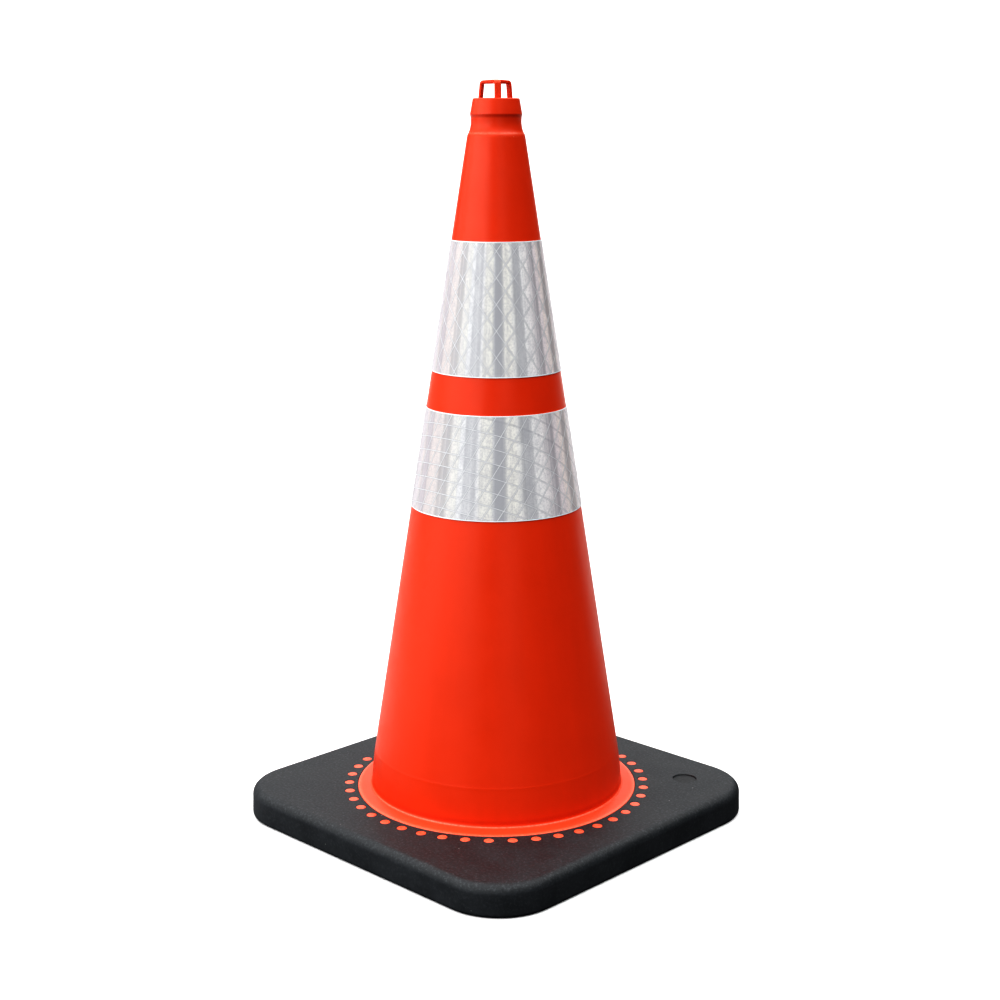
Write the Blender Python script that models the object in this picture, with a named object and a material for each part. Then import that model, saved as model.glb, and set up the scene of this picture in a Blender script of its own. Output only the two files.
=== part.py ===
"""A tall traffic cone on a square weighted base, in metres, +Z up.

The origin is on the floor, under the middle of the cone. The pieces are the hollow cone shell, the handle
cage in its mouth, two reflective collars, the base, and the ring of pegs that locks shell and base together.
"""

import math

import bmesh
import bpy
from mathutils import Matrix, Vector

# Overall
OVERALL_HEIGHT = 0.7112
FIT_GAP = 0.0003
ROUND_STEPS = 48

# Cone wall: the outside is one straight taper between the foot line and the shoulder
CONE_FLOOR_RADIUS = 0.13125
CONE_TAPER = 0.15805
WALL_THICKNESS = 0.0028
FOOT_LINE_HEIGHT = 0.070
SHOULDER_HEIGHT = 0.6600

# Foot of the cone, and the flange that the base holds
FOOT_RADIUS = 0.1238
FOOT_HEIGHT = 0.0362
FLANGE_RADIUS = 0.1380
FLANGE_RISE = 0.0022
FLANGE_EDGE = 0.0006
FOOT_FILLET_WIDTH = 0.0024
FOOT_FILLET_PULL = 0.0014
TONGUE_RADIUS = 0.1520
TONGUE_TOP = 0.0222
TONGUE_BOTTOM = 0.0177
FOOT_BORE_RADIUS = 0.1215

# Neck and mouth
NECK_RADIUS = 0.02335
NECK_HEIGHT = 0.6735
NECK_PULL = 0.0023
FLARE_PULL = 0.0035
FLARE_END_PULL = (-0.0016, 0.0048)
SHOULDER_STEP = 0.0005
SHOULDER_RISE = 0.0024
RIDGE_RADIUS = 0.0241
RIDGE_HEIGHT = 0.6800
RIDGE_UNDERCUT = 0.0005
LIP_RADIUS = 0.0217
LIP_HEIGHT = 0.6944
LIP_ROUND = 0.0012
MOUTH_RADIUS = 0.0193
MOUTH_EDGE = 0.0006
LEDGE_RADIUS = 0.0165
LEDGE_TOP = 0.6630
LEDGE_THICKNESS = 0.0030
LEDGE_RAMP_WIDTH = 0.0040
LEDGE_RAMP_HEIGHT = 0.0060

# Handle cage
CAGE_LEGS = 3
CAGE_FIRST_ANGLE = math.radians(-40.0)
CAGE_LEG_WIDTH = 0.0056
CAGE_LEG_DEPTH = 0.0023
CAGE_FOOT_RADIUS = 0.0186
CAGE_FOOT_RISE = 0.0040
CAGE_KNEE_HEIGHT = 0.6745
CAGE_TOP_RADIUS = 0.0151
CAGE_BAR_DEPTH = 0.0033
CAGE_CROWN = 0.0006
CAGE_CORNER = 0.0036
CAGE_LEG_LEAN = 7
CAGE_HUB_RADIUS = 0.0046
CAGE_HUB_STEP = 0.0001
CAGE_HUB_STEPS = 18
CAGE_BAR_START = 0.0010
SEAT_RING_HEIGHT = 0.0107
SEAT_RING_INNER_RADIUS = 0.0160

# Reflective collars
COLLAR_GAP = 0.0002
COLLAR_THICKNESS = 0.0004
UPPER_COLLAR = (0.4446, 0.5666)
LOWER_COLLAR = (0.3147, 0.4104)

# Base
BASE_WIDTH = 0.3790
BASE_CORNER_RADIUS = 0.0600
BASE_HEIGHT = 0.0306
BASE_EDGE_HEIGHT = 0.0298
BASE_TOP_ROUND = 0.0086
BASE_FOOT_ROUND = 0.0039
BASE_DRAFT = 0.0004
BASE_FLAT_WIDTH = 0.3140
CORNER_STEPS = 8
FOOT_ROUND_STEPS = 2
TOP_ROUND_STEPS = 4
RECESS_CENTRE = (0.1312, 0.1358)
RECESS_RADIUS = 0.0120
RECESS_DEPTH = 0.0009
RECESS_STEPS = 24

# Lock pegs
PEG_COUNT = 42
PEG_RING_RADIUS = 0.1465
PEG_RADIUS = 0.00475
PEG_STEPS = 12
PEG_FIRST_ANGLE = math.radians(2.97)
CUT_MARGIN = 0.010

ORANGE = (0.84, 0.065, 0.012, 1.0)
FILM = (0.80, 0.82, 0.84, 1.0)
BLACK = (0.018, 0.019, 0.021, 1.0)


def clear_scene():
    for item in list(bpy.data.objects):
        bpy.data.objects.remove(item, do_unlink=True)


def make_material(name, colour, roughness):
    material = bpy.data.materials.new(name)
    material.use_nodes = True
    shader = material.node_tree.nodes["Principled BSDF"]
    shader.inputs["Base Color"].default_value = colour
    shader.inputs["Roughness"].default_value = roughness
    shader.inputs["Metallic"].default_value = 0.0
    return material


def cone_radius(height):
    """The radius of the straight taper's outside at this height."""
    return CONE_FLOOR_RADIUS - CONE_TAPER * height


def arc(centre, radius, start, end, steps):
    """Points along an arc in the (radius, height) plane, from one angle to the other in degrees."""
    angles = [math.radians(start + (end - start) * i / steps) for i in range(steps + 1)]
    return [(centre[0] + radius * math.cos(a), centre[1] + radius * math.sin(a)) for a in angles]


def bezier(start, pull_start, pull_end, end, steps):
    """Points along a cubic curve, without its first point."""
    points = []
    for i in range(1, steps + 1):
        t = i / steps
        weights = ((1 - t) ** 3, 3 * t * (1 - t) ** 2, 3 * t * t * (1 - t), t ** 3)
        corners = (start, pull_start, pull_end, end)
        points.append(tuple(sum(w * c[k] for w, c in zip(weights, corners)) for k in (0, 1)))
    return points


def add_object(name, mesh_builder, material=None, smooth_angle=None):
    """A new object from a bmesh, with its normals made consistent."""
    bmesh.ops.recalc_face_normals(mesh_builder, faces=mesh_builder.faces)
    mesh = bpy.data.meshes.new(name)
    mesh_builder.to_mesh(mesh)
    mesh_builder.free()
    item = bpy.data.objects.new(name, mesh)
    bpy.context.scene.collection.objects.link(item)
    if material is not None:
        mesh.materials.append(material)
    if smooth_angle is not None:
        mesh.shade_smooth()
        mesh.set_sharp_from_angle(angle=math.radians(smooth_angle))
    return item


def spin_profile(profile, closed, steps=ROUND_STEPS):
    """A bmesh turned about Z from (radius, height) points. An open profile starts and ends on the axis."""
    turned = bmesh.new()
    points = [turned.verts.new((radius, 0.0, height)) for radius, height in profile]
    pairs = list(zip(points, points[1:]))
    if closed:
        pairs.append((points[-1], points[0]))
    edges = [turned.edges.new(pair) for pair in pairs]
    bmesh.ops.spin(
        turned,
        geom=points + edges,
        cent=(0.0, 0.0, 0.0),
        axis=(0.0, 0.0, 1.0),
        angle=2.0 * math.pi,
        steps=steps,
        use_merge=True,
    )
    bmesh.ops.remove_doubles(turned, verts=turned.verts, dist=1e-6)
    return turned


def rounded_square(width, corner_radius, height):
    """The points of a level square outline with round corners, anticlockwise."""
    reach = width / 2 - corner_radius
    points = []
    for quarter in range(4):
        turn = Matrix.Rotation(quarter * math.pi / 2, 3, "Z")
        for step in range(CORNER_STEPS + 1):
            angle = math.pi / 2 * step / CORNER_STEPS
            x = reach + corner_radius * math.cos(angle)
            y = reach + corner_radius * math.sin(angle)
            points.append(turn @ Vector((x, y, height)))
    return points


def as_cutter(item):
    item.hide_render = True
    item.display_type = "WIRE"
    return item


def add_boolean(item, other, operation):
    boolean = item.modifiers.new(operation.lower(), "BOOLEAN")
    boolean.operation = operation
    boolean.solver = "EXACT"
    boolean.object = other
    return boolean


def shell_outside():
    """The shell's outside, from the top of the lip down to the flange's edge."""
    lip_centre = (LIP_RADIUS - LIP_ROUND, LIP_HEIGHT - LIP_ROUND)
    neck = (NECK_RADIUS, NECK_HEIGHT)
    flare_end = (cone_radius(SHOULDER_HEIGHT) - SHOULDER_STEP, SHOULDER_HEIGHT + SHOULDER_RISE)
    flare_pull = (flare_end[0] + FLARE_END_PULL[0], flare_end[1] + FLARE_END_PULL[1])
    undercut_pull = (RIDGE_RADIUS - RIDGE_UNDERCUT, RIDGE_HEIGHT - NECK_PULL)
    wall_start = (cone_radius(SHOULDER_HEIGHT), SHOULDER_HEIGHT)
    flange_top = BASE_HEIGHT + FLANGE_RISE
    fillet_end = FOOT_RADIUS + FOOT_FILLET_WIDTH
    profile = arc(lip_centre, LIP_ROUND, 90, 10, 3)
    profile.append((RIDGE_RADIUS, RIDGE_HEIGHT))
    profile += bezier(profile[-1], undercut_pull, (NECK_RADIUS, NECK_HEIGHT + NECK_PULL), neck, 3)
    profile += bezier(neck, (NECK_RADIUS, NECK_HEIGHT - FLARE_PULL), flare_pull, flare_end, 5)
    profile.append(wall_start)
    profile.append((cone_radius(FOOT_LINE_HEIGHT), FOOT_LINE_HEIGHT))
    profile.append((FOOT_RADIUS, FOOT_HEIGHT))
    profile += bezier(
        profile[-1],
        (FOOT_RADIUS, FOOT_HEIGHT - FOOT_FILLET_PULL),
        (fillet_end - FOOT_FILLET_PULL, flange_top),
        (fillet_end, flange_top),
        3,
    )
    profile.append((FLANGE_RADIUS - FLANGE_EDGE, BASE_HEIGHT))
    profile.append((FLANGE_RADIUS, BASE_HEIGHT - FLANGE_EDGE))
    return profile


def shell_inside():
    """The rest of the shell's outline: its hidden tongue, then its inside from the foot up to the mouth."""
    ledge_bottom = LEDGE_TOP - LEDGE_THICKNESS
    ramp_foot = ledge_bottom - LEDGE_RAMP_HEIGHT
    return [
        (FLANGE_RADIUS, TONGUE_TOP),
        (TONGUE_RADIUS, TONGUE_TOP),
        (TONGUE_RADIUS, TONGUE_BOTTOM),
        (FOOT_BORE_RADIUS, TONGUE_BOTTOM),
        (FOOT_RADIUS - WALL_THICKNESS, FOOT_HEIGHT),
        (cone_radius(FOOT_LINE_HEIGHT) - WALL_THICKNESS, FOOT_LINE_HEIGHT),
        (cone_radius(ramp_foot) - WALL_THICKNESS, ramp_foot),
        (LEDGE_RADIUS + LEDGE_RAMP_WIDTH, ledge_bottom),
        (LEDGE_RADIUS, ledge_bottom),
        (LEDGE_RADIUS, LEDGE_TOP),
        (MOUTH_RADIUS, LEDGE_TOP),
        (MOUTH_RADIUS, LIP_HEIGHT - MOUTH_EDGE),
        (MOUTH_RADIUS + MOUTH_EDGE, LIP_HEIGHT),
    ]


def make_cone_shell(material):
    turned = spin_profile(shell_outside() + shell_inside(), closed=True)
    return add_object("cone_shell", turned, material, smooth_angle=30)


def make_collar(name, span, material):
    """A thin sleeve with the cone's own taper, a small gap off its wall."""
    inner = COLLAR_GAP
    outer = COLLAR_GAP + COLLAR_THICKNESS
    low, high = span
    profile = [
        (cone_radius(high) + inner, high),
        (cone_radius(high) + outer, high),
        (cone_radius(low) + outer, low),
        (cone_radius(low) + inner, low),
    ]
    return add_object(name, spin_profile(profile, closed=True), material, smooth_angle=30)


def cage_leg_outline():
    """One leg and its half of the top bar, in the (radius, height) plane."""
    underside = OVERALL_HEIGHT - CAGE_BAR_DEPTH
    top_edge = OVERALL_HEIGHT - CAGE_CROWN
    leg_foot = LEDGE_TOP + FIT_GAP + CAGE_FOOT_RISE
    inner_foot = CAGE_FOOT_RADIUS - CAGE_LEG_DEPTH
    outer_centre = (CAGE_TOP_RADIUS - CAGE_CORNER, top_edge - CAGE_CORNER)
    inner_corner = CAGE_CORNER - CAGE_LEG_DEPTH
    inner_centre = (outer_centre[0], underside - inner_corner)
    outer = [(CAGE_FOOT_RADIUS, leg_foot), (CAGE_FOOT_RADIUS, CAGE_KNEE_HEIGHT)]
    outer += arc(outer_centre, CAGE_CORNER, CAGE_LEG_LEAN, 90, 5)
    outer.append((CAGE_BAR_START, OVERALL_HEIGHT - CAGE_HUB_STEP))
    inner = [(CAGE_BAR_START, underside)]
    inner += arc(inner_centre, inner_corner, 90, CAGE_LEG_LEAN, 3)
    inner += [(inner_foot, CAGE_KNEE_HEIGHT), (inner_foot, leg_foot)]
    return outer + inner


def make_cage_leg(number):
    """The outline thickened across its radius and turned to its place round the axis."""
    solid = bmesh.new()
    half = CAGE_LEG_WIDTH / 2
    flat = solid.faces.new([solid.verts.new((r, -half, z)) for r, z in cage_leg_outline()])
    grown = bmesh.ops.extrude_face_region(solid, geom=[flat])
    moved = [part for part in grown["geom"] if isinstance(part, bmesh.types.BMVert)]
    bmesh.ops.translate(solid, verts=moved, vec=(0.0, CAGE_LEG_WIDTH, 0.0))
    angle = CAGE_FIRST_ANGLE + number * 2.0 * math.pi / CAGE_LEGS
    solid.transform(Matrix.Rotation(angle, 4, "Z"))
    return as_cutter(add_object(f"cage_leg_{number + 1}", solid))


def make_cage_hub():
    """The short round boss where the bars of the cage meet."""
    underside = OVERALL_HEIGHT - CAGE_BAR_DEPTH - CAGE_HUB_STEP
    edge = (CAGE_HUB_RADIUS, OVERALL_HEIGHT - CAGE_HUB_STEP)
    profile = [(0.0, OVERALL_HEIGHT), edge, (CAGE_HUB_RADIUS, underside), (0.0, underside)]
    return as_cutter(add_object("cage_hub", spin_profile(profile, closed=False, steps=CAGE_HUB_STEPS)))


def make_top_cage(material):
    """The seat ring, which rests on the ledge inside the neck, joined with the legs and their hub."""
    seat_bottom = LEDGE_TOP + FIT_GAP
    seat_top = seat_bottom + SEAT_RING_HEIGHT
    seat_outer = MOUTH_RADIUS - FIT_GAP
    profile = [
        (SEAT_RING_INNER_RADIUS, seat_top),
        (seat_outer, seat_top),
        (seat_outer, seat_bottom),
        (SEAT_RING_INNER_RADIUS, seat_bottom),
    ]
    cage = add_object("top_cage", spin_profile(profile, closed=True), material)
    for number in range(CAGE_LEGS):
        add_boolean(cage, make_cage_leg(number), "UNION")
    add_boolean(cage, make_cage_hub(), "UNION")
    return cage


def base_levels():
    """(inset, height) of the base's outlines, from the underside up to the flat top."""
    levels = []
    for step in range(FOOT_ROUND_STEPS + 1):
        angle = math.pi / 2 * step / FOOT_ROUND_STEPS
        inset = BASE_FOOT_ROUND * (1 - math.sin(angle))
        levels.append((inset, BASE_FOOT_ROUND * (1 - math.cos(angle))))
    for step in range(TOP_ROUND_STEPS + 1):
        angle = math.pi / 2 * step / TOP_ROUND_STEPS
        inset = BASE_DRAFT + BASE_TOP_ROUND * (1 - math.cos(angle))
        levels.append((inset, BASE_EDGE_HEIGHT - BASE_TOP_ROUND * (1 - math.sin(angle))))
    levels.append(((BASE_WIDTH - BASE_FLAT_WIDTH) / 2, BASE_HEIGHT))
    return levels


def base_block():
    """The solid base, before its holes: rounded-square outlines joined level by level."""
    block = bmesh.new()
    rings = []
    for inset, height in base_levels():
        outline = rounded_square(BASE_WIDTH - 2 * inset, BASE_CORNER_RADIUS - inset, height)
        rings.append([block.verts.new(point) for point in outline])
    for lower, upper in zip(rings, rings[1:]):
        for i in range(len(lower)):
            j = (i + 1) % len(lower)
            block.faces.new((lower[i], lower[j], upper[j], upper[i]))
    block.faces.new(list(reversed(rings[0])))
    block.faces.new(rings[-1])
    return block


def make_foot_cutter():
    """The stepped round hole that holds the cone's foot, with the groove for the flange's tongue."""
    hole = FOOT_BORE_RADIUS + FIT_GAP
    groove = TONGUE_RADIUS + FIT_GAP
    mouth = FLANGE_RADIUS + FIT_GAP
    groove_bottom = TONGUE_BOTTOM - FIT_GAP
    groove_top = TONGUE_TOP + FIT_GAP
    profile = [
        (0.0, BASE_HEIGHT + CUT_MARGIN),
        (mouth, BASE_HEIGHT + CUT_MARGIN),
        (mouth, groove_top),
        (groove, groove_top),
        (groove, groove_bottom),
        (hole, groove_bottom),
        (hole, -CUT_MARGIN),
        (0.0, -CUT_MARGIN),
    ]
    return as_cutter(add_object("foot_cutter", spin_profile(profile, closed=False)))


def peg_place(number):
    """Where a peg stands round the cone, at floor level."""
    angle = PEG_FIRST_ANGLE + number * 2.0 * math.pi / PEG_COUNT
    return Vector((PEG_RING_RADIUS * math.cos(angle), PEG_RING_RADIUS * math.sin(angle), 0.0))


def add_cylinder(solid, radius, low, high, steps, place):
    centre = place + Vector((0.0, 0.0, (low + high) / 2))
    bmesh.ops.create_cone(
        solid,
        cap_ends=True,
        segments=steps,
        radius1=radius,
        radius2=radius,
        depth=high - low,
        matrix=Matrix.Translation(centre),
    )


def make_peg_hole_cutter():
    """All the peg holes, from inside the groove up through the base's top."""
    cutters = bmesh.new()
    bottom = (TONGUE_TOP + TONGUE_BOTTOM) / 2
    for number in range(PEG_COUNT):
        top = BASE_HEIGHT + CUT_MARGIN
        add_cylinder(cutters, PEG_RADIUS + FIT_GAP, bottom, top, PEG_STEPS, peg_place(number))
    return as_cutter(add_object("peg_hole_cutter", cutters))


def make_recess_cutter():
    """The shallow round blank recess in the base's top."""
    cutter = bmesh.new()
    place = Vector((*RECESS_CENTRE, 0.0))
    bottom = BASE_HEIGHT - RECESS_DEPTH
    add_cylinder(cutter, RECESS_RADIUS, bottom, BASE_HEIGHT + CUT_MARGIN, RECESS_STEPS, place)
    return as_cutter(add_object("recess_cutter", cutter))


def make_base_plate(material):
    base = add_object("base_plate", base_block(), material, smooth_angle=30)
    add_boolean(base, make_foot_cutter(), "DIFFERENCE")
    add_boolean(base, make_peg_hole_cutter(), "DIFFERENCE")
    add_boolean(base, make_recess_cutter(), "DIFFERENCE")
    return base


def make_lock_pegs(material):
    """The pegs share one mesh; each stands on the tongue and ends flush with the base's top."""
    solid = bmesh.new()
    add_cylinder(solid, PEG_RADIUS, TONGUE_TOP + FIT_GAP, BASE_HEIGHT, PEG_STEPS, Vector())
    first = add_object("lock_peg_01", solid, material, smooth_angle=30)
    first.location = peg_place(0)
    for number in range(1, PEG_COUNT):
        peg = bpy.data.objects.new(f"lock_peg_{number + 1:02d}", first.data)
        peg.location = peg_place(number)
        bpy.context.scene.collection.objects.link(peg)


def main():
    clear_scene()
    orange = make_material("orange_vinyl", ORANGE, 0.42)
    film = make_material("reflective_film", FILM, 0.30)
    black = make_material("black_vinyl", BLACK, 0.60)
    make_cone_shell(orange)
    make_top_cage(orange)
    make_collar("upper_collar", UPPER_COLLAR, film)
    make_collar("lower_collar", LOWER_COLLAR, film)
    make_base_plate(black)
    make_lock_pegs(orange)


main()
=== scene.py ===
"""The looks of a tall traffic cone on a square weighted base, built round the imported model. Metres, +Z up.

Fine meshes replace the faceted solids: the turned shell, the moulded handle cage and its seat ring, the
two collars of prismatic film with their seal lines, the weighted base and its ring of lock pegs.
"""

import math

import bmesh
import bpy
from mathutils import Matrix, Vector


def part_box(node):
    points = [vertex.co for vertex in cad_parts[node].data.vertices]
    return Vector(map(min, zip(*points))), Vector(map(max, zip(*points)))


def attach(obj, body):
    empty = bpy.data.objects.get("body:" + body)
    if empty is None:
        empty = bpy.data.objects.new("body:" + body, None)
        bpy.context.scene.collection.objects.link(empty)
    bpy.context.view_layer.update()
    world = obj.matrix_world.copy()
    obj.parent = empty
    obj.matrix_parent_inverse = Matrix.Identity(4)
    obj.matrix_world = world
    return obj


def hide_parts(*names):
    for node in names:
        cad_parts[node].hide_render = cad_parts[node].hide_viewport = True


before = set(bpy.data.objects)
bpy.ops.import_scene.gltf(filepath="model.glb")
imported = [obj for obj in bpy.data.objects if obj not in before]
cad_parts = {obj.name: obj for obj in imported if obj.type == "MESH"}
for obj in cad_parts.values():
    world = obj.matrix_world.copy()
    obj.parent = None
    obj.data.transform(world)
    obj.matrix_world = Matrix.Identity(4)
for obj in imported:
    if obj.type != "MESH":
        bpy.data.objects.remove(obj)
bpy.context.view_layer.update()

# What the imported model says
SHELL_LOW, SHELL_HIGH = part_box("cone_shell")
CAGE_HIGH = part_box("top_cage")[1]
BASE_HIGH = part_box("base_plate")[1]
PEG_NODES = sorted(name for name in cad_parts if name.startswith("lock_peg_"))

# The object's front and back, round the axis from +X
FRONT_ANGLE = math.radians(-45.7)
BACK_ANGLE = FRONT_ANGLE + math.pi

# Cone wall
CONE_FLOOR_RADIUS = 0.13125
CONE_TAPER = 0.15805
WALL = 0.0028
CONE_ANGLE = math.atan(CONE_TAPER)
APEX_HEIGHT = CONE_FLOOR_RADIUS / CONE_TAPER
FOOT_LINE_HEIGHT = 0.070  # the faint line where the straight wall ends
FOOT_LINE_PROUD = 0.00009
FOOT_LINE_HALF = 0.0006  # half its width
SHOULDER_HEIGHT = 0.6600
SHOULDER_ROUND = 0.0007
TURN_STEPS = 192
ON_AXIS = 1e-7  # a smaller radius than this counts as the axis
HOLD = 0.0010  # spacing of the extra rings that keep shading from spreading off an edge
OUTSIDE_RINGS = (0.60, 0.50, 0.40, 0.30, 0.20, 0.12)  # heights of the rings down the outside
INSIDE_RINGS = (0.20, 0.35, 0.50)  # and up the inside

# Foot and flange
FOOT_RADIUS = 0.1238
FOOT_HEIGHT = 0.0362
FLANGE_RADIUS = 0.1380
FLANGE_RISE = 0.0022
FLANGE_EDGE = 0.0007
FILLET_WIDTH = 0.0024
FILLET_PULL = 0.0014  # the pull of its curve at both ends
TONGUE_RADIUS = SHELL_HIGH.x
TONGUE_TOP = 0.0222
TONGUE_BOTTOM = SHELL_LOW.z
FOOT_BORE_RADIUS = 0.1215
FOOT_SHARES = (0.03, 0.20, 0.40, 0.60, 0.80, 0.96)  # where its rings lie, from the foot line down

# Neck and mouth
LIP_RADIUS = 0.0217
LIP_HEIGHT = SHELL_HIGH.z
LIP_ROUND = 0.0012
RIDGE_RADIUS = 0.0241
RIDGE_HEIGHT = 0.6800
RIDGE_ROUND = 0.00035
NECK_RADIUS = 0.02335
NECK_HEIGHT = 0.6735
NECK_PULL = 0.0038  # how far down the neck's curve is pulled
RIDGE_UNDERCUT = (0.0006, 0.0023)  # how far in and down the ridge's curve is pulled
FLARE_PULL = (0.0245, 0.6648)  # the radius and height that the flare's curve is pulled to
SHOULDER_STEP = 0.0006  # how far the flare ends inside the shoulder
SHOULDER_RISE = 0.0022  # and above it
MOUTH_RADIUS = 0.0193
MOUTH_EDGE = 0.0006
LEDGE_RADIUS = 0.0165
LEDGE_TOP = 0.6630
LEDGE_BOTTOM = 0.6600
LEDGE_RAMP = (0.0040, 0.0060)  # width of the ledge's flat underside, and height of the slope below it

# Handle cage
CAGE_LEGS = 3
CAGE_FIRST_ANGLE = math.radians(-40.0)
CAGE_TOP = CAGE_HIGH.z
LEG_WIDTH = 0.0062
LEG_DEPTH = 0.0027
LEG_FOOT_RADIUS = 0.0190
LEG_FOOT_HEIGHT = 0.6673
LEG_KNEE_HEIGHT = 0.6745
LEG_LEAN = 7  # degrees from upright
BAR_OUTER_RADIUS = 0.0157
BAR_DEPTH = 0.0038
BAR_CROWN = 0.0006
BAR_CORNER = 0.0036
BAR_OVERRUN = 0.0012  # how far each bar runs past the axis, so that they join
LEG_EDGE_ROUND = 0.0009
LEG_EDGE_STEPS = 3
CAGE_VOXEL = 0.00030
CAGE_SOFTENING = 5  # passes of smoothing after the bars are fused
SEAT_RING = (0.0160, 0.0190, 0.6633, 0.6740)  # inner and outer radius, bottom and top
SEAT_EDGE = 0.0005

# Base
BASE_HALF = BASE_HIGH.x
BASE_TOP = BASE_HIGH.z
BASE_CORNER = 0.0600
BASE_CORNER_MIN = 0.0015  # the least corner radius of a ring on its top
BASE_TOP_ROUND = 0.0086
BASE_TOP_STEPS = 10
BASE_FOOT_ROUND = 0.0039
BASE_FOOT_STEPS = 6
BASE_DRAFT = 0.0004  # how far its side leans in by the top
SLOPE_START = 0.1090  # where its top begins to fall away, from the middle
SLOPE_DROP = 0.0008
BASE_TOP_INSETS = (0.0125, 0.020, 0.030, 0.042, 0.0585, 0.070)  # where its rings lie, from the side in
CORNER_STEPS = 24
FIT_GAP = 0.0003  # between the base and what stands in it
RECESS_CENTRE = (0.1312, 0.1358)
RECESS_RADIUS = 0.0120
RECESS_DEPTH = 0.0012
RECESS_SLOPE = 0.0006
RECESS_STEPS = 64
CUT_MARGIN = 0.010  # how far a cutter reaches past the surface it cuts
BASE_SHARP = 32

# Pegs
PEG_EDGE = 0.0003
PEG_DOME = 0.00012
PEG_DOME_RING = (0.55, 0.70)  # its one ring's radius and height, as shares of the peg's and the dome's
PEG_STEPS = 32


# -------------------------------- outlines and mesh building

def cone_radius(height):
    """The radius of the wall's outside at this height."""
    return CONE_FLOOR_RADIUS - CONE_TAPER * height


def arc(centre, radius, start, end, steps):
    """Points along an arc in the (radius, height) plane, from one angle to the other in degrees."""
    angles = [math.radians(start + (end - start) * i / steps) for i in range(steps + 1)]
    return [(centre[0] + radius * math.cos(a), centre[1] + radius * math.sin(a)) for a in angles]


def bezier(start, pull_start, pull_end, end, steps):
    """Points along a cubic curve, without its first point."""
    points = []
    for i in range(1, steps + 1):
        t = i / steps
        weights = ((1 - t) ** 3, 3 * t * (1 - t) ** 2, 3 * t * t * (1 - t), t ** 3)
        corners = (start, pull_start, pull_end, end)
        points.append(tuple(sum(w * c[k] for w, c in zip(weights, corners)) for k in (0, 1)))
    return points


def rounded_corner(before, corner, after, radius, steps=5):
    """Points that round a corner off with a quadratic curve, radius away from it on both sides."""
    start = Vector(corner) + (Vector(before) - Vector(corner)).normalized() * radius
    end = Vector(corner) + (Vector(after) - Vector(corner)).normalized() * radius
    points = []
    for i in range(steps + 1):
        t = i / steps
        point = start * (1 - t) ** 2 + Vector(corner) * 2 * t * (1 - t) + end * t * t
        points.append(tuple(point))
    return points


def finish_object(name, builder, material, sharp=None):
    """A new object from a bmesh; sharp is the angle in degrees above which an edge stays hard."""
    bmesh.ops.recalc_face_normals(builder, faces=builder.faces)
    mesh = bpy.data.meshes.new(name)
    builder.to_mesh(mesh)
    builder.free()
    item = bpy.data.objects.new(name, mesh)
    bpy.context.scene.collection.objects.link(item)
    if material is not None:
        mesh.materials.append(material)
    mesh.shade_smooth()
    if sharp is not None:
        mesh.set_sharp_from_angle(angle=math.radians(sharp))
    return item


def add_lathe(builder, profile, steps=TURN_STEPS, centre=(0.0, 0.0)):
    """Turns a closed (radius, height) outline about an upright axis. Points on the axis become one vertex."""
    rows = []
    for radius, height in profile:
        if radius < ON_AXIS:
            rows.append([builder.verts.new((centre[0], centre[1], height))])
            continue
        row = []
        for step in range(steps):
            angle = 2 * math.pi * step / steps
            x = centre[0] + radius * math.cos(angle)
            y = centre[1] + radius * math.sin(angle)
            row.append(builder.verts.new((x, y, height)))
        rows.append(row)
    open_ended = len(rows[0]) == 1 and len(rows[-1]) == 1
    pairs = list(zip(rows, rows[1:]))
    if not open_ended:
        pairs.append((rows[-1], rows[0]))
    for first, second in pairs:
        for i in range(steps):
            j = (i + 1) % steps
            corners = [first[i % len(first)], first[j % len(first)]]
            corners += [second[j % len(second)], second[i % len(second)]]
            loop = list(dict.fromkeys(corners))
            if len(loop) > 2:
                builder.faces.new(loop)


def lathe_object(name, profile, material, sharp=None, steps=TURN_STEPS):
    builder = bmesh.new()
    add_lathe(builder, profile, steps)
    return finish_object(name, builder, material, sharp)


def join_rings(builder, rings):
    """Faces from each ring of vertices to the next. The ends stay open."""
    for first, second in zip(rings, rings[1:]):
        for i in range(len(first)):
            j = (i + 1) % len(first)
            builder.faces.new((first[i], first[j], second[j], second[i]))


def apply_modifiers(item):
    """Replaces an object's mesh by what its modifiers make of it."""
    graph = bpy.context.evaluated_depsgraph_get()
    mesh = bpy.data.meshes.new_from_object(item.evaluated_get(graph))
    item.modifiers.clear()
    item.data = mesh
    mesh.name = item.name


def cut_away(item, cutter):
    """Takes the cutter's shape out of the item, and removes the cutter."""
    boolean = item.modifiers.new("cut", "BOOLEAN")
    boolean.operation = "DIFFERENCE"
    boolean.solver = "EXACT"
    boolean.object = cutter
    apply_modifiers(item)
    bpy.data.objects.remove(cutter, do_unlink=True)


def take_place(item, slot, *nodes):
    """The item rides on the one body, in these nodes' place. slot is not used."""
    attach(item, "root")
    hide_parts(*nodes)


# -------------------------------- cone shell

def on_foot(share):
    """A point of the foot's outside, from the foot line (0) down to its fillet (1), steepening on the way."""
    line = cone_radius(FOOT_LINE_HEIGHT)
    drop = FOOT_LINE_HEIGHT - FOOT_HEIGHT
    start = CONE_TAPER * drop / (FOOT_RADIUS - line)
    spread = start * share + (1 - start) * share * share
    return (line + (FOOT_RADIUS - line) * spread, FOOT_LINE_HEIGHT - drop * share)


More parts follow.
